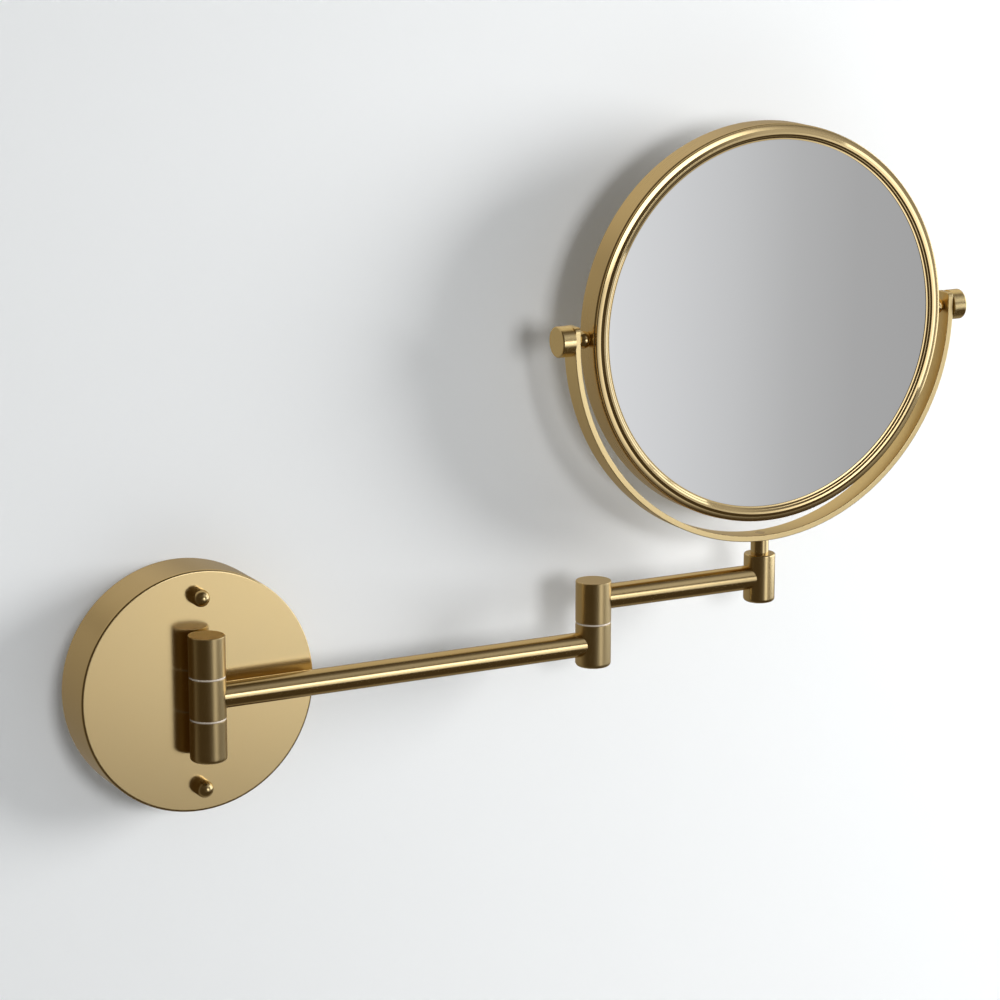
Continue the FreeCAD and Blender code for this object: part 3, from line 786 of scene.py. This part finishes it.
# The knobs' brass is painted much lighter than plain brass: painted light.
knob_brass = brass("turned knob brass", head, RIGHT, roughness=0.24, painted_light_gain=1.32)
knob = turned("knob", [
    (knob_sink_radius, knob_start), (knob_radius, knob_start, 0.2), (knob_radius, knob_end, 0.8),
    (0, knob_end), (0, knob_floor), (pivot_bore, knob_floor), (pivot_bore, knob_sink),
    (knob_sink_radius, knob_sink)], zero, RIGHT, steps=160)
knobs = pair("tilt_knobs", knob, head, zero, half_turn, knob_brass)
fit(knobs, knob_brass, "mirror_head", "satin_brass", "pivot_knobs")

# Stage: the painted wall that carries the cover, seen only from the room, and a pale floor well below.
# The wall is open behind the cover, so that the bracket can be seen from the back.
wall_hole, wall_reach, wall_gap, wall_steps = 0.0575, 7.0, 0.0003, 128
floor_level = -1.3


def stage_mesh(name, inner, outer):
    """Flat part of the stage, between two loops of corners."""
    mesh = bmesh.new()
    bridged(mesh, [[mesh.verts.new(place) for place in loop] for loop in (inner, outer)])
    piece = in_scene(name, mesh_of(name, mesh))
    return piece


def wall_circle(radius):
    """Corners round the cover on the wall's face."""
    angles = [2 * math.pi * i / wall_steps for i in range(wall_steps)]
    return [(radius * math.cos(a), wall_gap, -radius * math.sin(a)) for a in angles]


def floor_corners(side, back, front):
    """Corners of a rectangle on the floor."""
    return [(x, y, floor_level) for x, y in ((-side, back), (-side, front), (side, front), (side, back))]


wall = stage_mesh("wall", wall_circle(wall_hole), wall_circle(wall_reach))
paint, tree, shader = blank("wall paint")
shader.inputs["Base Color"].default_value = (0.93, 0.945, 0.95, 1)
shader.inputs["Roughness"].default_value = 0.9
shader.inputs["Specular IOR Level"].default_value = 0.1
clear = add(tree, "ShaderNodeBsdfTransparent").outputs[0]
behind = add(tree, "ShaderNodeNewGeometry").outputs["Backfacing"]
seen = add(tree, "ShaderNodeMixShader", {0: behind, 1: shader.outputs[0], 2: clear}).outputs[0]
tree.links.new(seen, tree.nodes["Material Output"].inputs["Surface"])
wall.data.materials.append(paint)

floor = stage_mesh("floor", floor_corners(4, 0, -0.01), floor_corners(5, 4, -6))
floor_paint, tree, shader = blank("floor paint")
shader.inputs["Base Color"].default_value = (0.80, 0.80, 0.79, 1)
shader.inputs["Roughness"].default_value = 0.8
floor.data.materials.append(floor_paint)

# Light: a soft lamp in front and a softer one low on the right light the wall and shade it to the left.
# The metal and glass show a dim studio shell with one large bright panel, as in product pictures,
# and a plain bright sheet on the right.
scene = bpy.context.scene
scene.view_settings.view_transform = "Standard"
object_middle = Vector((0.176, 0.0, 0.07))


def towards(azimuth, elevation):
    """Direction into the room: azimuth from straight out of the wall towards the right, then up."""
    a, e = math.radians(azimuth), math.radians(elevation)
    return Vector((math.sin(a) * math.cos(e), -math.cos(a) * math.cos(e), math.sin(e)))


def lamp(name, azimuth, elevation, distance, size, power):
    """White disc lamp aimed at the middle of the object, itself not seen or reflected."""
    light = bpy.data.lights.new(name, "AREA")
    light.shape = "DISK"
    light.size = size
    light.energy = power
    holder = in_scene(name, light)
    out = towards(azimuth, elevation)
    holder.location = object_middle + out * distance
    holder.rotation_euler = out.to_track_quat("Z", "Y").to_euler()
    holder.visible_camera = holder.visible_glossy = False


lamp("front_lamp", azimuth=4, elevation=9, distance=2.2, size=0.7, power=14.0)
lamp("side_lamp", azimuth=68, elevation=9, distance=1.9, size=1.0, power=40.0)

sky_fill, sky_shown = 0.19, 0.74
world = bpy.data.worlds.new("studio")
scene.world = world
world.use_nodes = True
tree = world.node_tree
tree.nodes.clear()
ray = add(tree, "ShaderNodeLightPath").outputs
shown = maths(tree, "MAXIMUM", ray["Is Camera Ray"], ray["Is Glossy Ray"])
shown = maths(tree, "MAXIMUM", shown, ray["Is Transmission Ray"])
strength = scaled(tree, shown, sky_shown, sky_fill)
sky = add(tree, "ShaderNodeBackground", {"Color": (0.965, 0.985, 1.0, 1), "Strength": strength}).outputs[0]
add(tree, "ShaderNodeOutputWorld", {"Surface": sky})


def glowing(name):
    """Material that only gives light, and isn't sampled as a lamp."""
    finish = bpy.data.materials.new(name)
    finish.use_nodes = True
    finish.cycles.emission_sampling = "NONE"
    finish.node_tree.nodes.clear()
    return finish, finish.node_tree


def emission(tree, colour, strength):
    """Light of one colour."""
    return add(tree, "ShaderNodeEmission", {"Color": colour, "Strength": strength}).outputs[0]


shell_radius = 4.0
shell_mesh = bmesh.new()
bmesh.ops.create_uvsphere(shell_mesh, u_segments=64, v_segments=32, radius=shell_radius)
for vertex in shell_mesh.verts:
    vertex.co += object_middle
shell = in_scene("studio_shell", mesh_of("studio_shell", shell_mesh))
shell.visible_camera = shell.visible_diffuse = shell.visible_shadow = False
wall.visible_glossy = floor.visible_glossy = False
glow, tree = glowing("studio shell")
local = vector(tree, "SUBTRACT", own_place(tree), object_middle)
axes = add(tree, "ShaderNodeSeparateXYZ", {0: vector(tree, "NORMALIZE", local)}).outputs
azimuth = maths(tree, "ARCTAN2", axes["X"], maths(tree, "MULTIPLY", axes["Y"], -1.0))
elevation = maths(tree, "ARCSINE", axes["Z"])


def ramp(value, reach, stops):
    """Curve through (degrees, level) stops, from minus to plus the reach."""
    limit = math.radians(reach)
    share = add(tree, "ShaderNodeMapRange", {"Value": value, "From Min": -limit, "From Max": limit})
    node = add(tree, "ShaderNodeValToRGB", {0: share.outputs[0]})
    bar = node.color_ramp
    while len(bar.elements) < len(stops):
        bar.elements.new(0.5)
    for element, (degrees, level) in zip(bar.elements, stops):
        element.position = (degrees + reach) / (2 * reach)
        element.color = (level, level, level, 1)
    return node.outputs[0]


def glow_part(across, upward):
    """Bright part of the shell: its curve by azimuth times its curve by elevation."""
    return maths(tree, "MULTIPLY", ramp(azimuth, 180, across), ramp(elevation, 90, upward))


panel_gain, dim_level = 2.1, 1.0
panel = glow_part([(8, 0), (13, 1), (27.5, 1), (29.5, 0.55), (31, 0.2), (33, 0.05), (52, 0)],
                  [(-4, 0), (-1.5, 1), (7, 1), (10, 0.2), (13, 0)])
band = glow_part([(-30, 0), (-9, 0.03), (3, 0.09), (9, 0.25), (12.5, 0.45), (17, 0.9), (22, 1.1), (25, 1.25),
                  (27.8, 1.3), (28.9, 0.99), (31.9, 0.79), (34.5, 0.535), (45, 0.33), (57, 0.17), (75, 0.11),
                  (88, 0.13), (104, 0.0)],
                 [(-25, 0), (-22, 0.15), (-18.5, 0.72), (-16, 1), (-4.5, 1), (-1, 0.75), (6, 0.5), (11, 0.12),
                  (15, 0)])
upper = glow_part([(-60, 0), (2, 0.15), (12, 0.3), (24, 1), (36, 1.8), (60, 1.7), (95, 1), (110, 0)],
                  [(15, 0), (22, 0.27), (40, 0.25), (52, 0.05), (66, 0)])
back = glow_part([(-180, 0.34), (-150, 0.33), (-112, 0.3), (-100, 0.17), (-90, 0.06), (-76, 0), (86, 0),
                  (100, 0.26), (116, 0.4), (150, 0.36), (180, 0.36)],
                 [(-60, 0.4), (-35, 0.44), (-13, 0.66), (10, 0.9), (15.5, 0.78), (30, 1.45), (60, 1.2)])
level = maths(tree, "ADD", scaled(tree, panel, panel_gain, band), upper)
bright = emission(tree, (0.985, 1.0, 1.05, 1), level)
warm = emission(tree, (1.0, 0.92, 0.76, 1), back)
dim = emission(tree, (0.062, 0.046, 0.026, 1), dim_level)
lit = add(tree, "ShaderNodeAddShader", {0: bright, 1: warm}).outputs[0]
lit = add(tree, "ShaderNodeAddShader", {0: lit, 1: dim}).outputs[0]
add(tree, "ShaderNodeOutputMaterial", {"Surface": lit})
shell.data.materials.append(glow)

side_x, side_near, side_far, side_low, side_high, side_level = 1.3, 0.45, -0.8, -0.24, 0.75, 1.7
side_mesh = bpy.data.meshes.new("side_panel")
side_mesh.from_pydata([(side_x, side_near, side_low), (side_x, side_far, side_low),
                       (side_x, side_far, side_high), (side_x, side_near, side_high)], [], [(0, 1, 2, 3)])
side_panel = in_scene("side_panel", side_mesh)
side_panel.visible_camera = side_panel.visible_diffuse = side_panel.visible_shadow = False
sheet, tree = glowing("side panel")
add(tree, "ShaderNodeOutputMaterial", {"Surface": emission(tree, (0.95, 1.0, 1.1, 1), side_level)})
side_mesh.materials.append(sheet)

# Camera: as the picture was taken, from the left and a little above, with a long lens.
eye = Vector((-0.611256, -1.519826, 0.472809))
target = Vector((0.176189, 0.0, 0.06992))
camera = bpy.data.cameras.new("camera")
camera.sensor_width = 36.0
camera.lens = 125.52
camera.clip_start = 0.05
holder = in_scene("camera", camera)
holder.location = eye
holder.rotation_euler = (target - eye).to_track_quat("-Z", "Y").to_euler()
scene.camera = holder
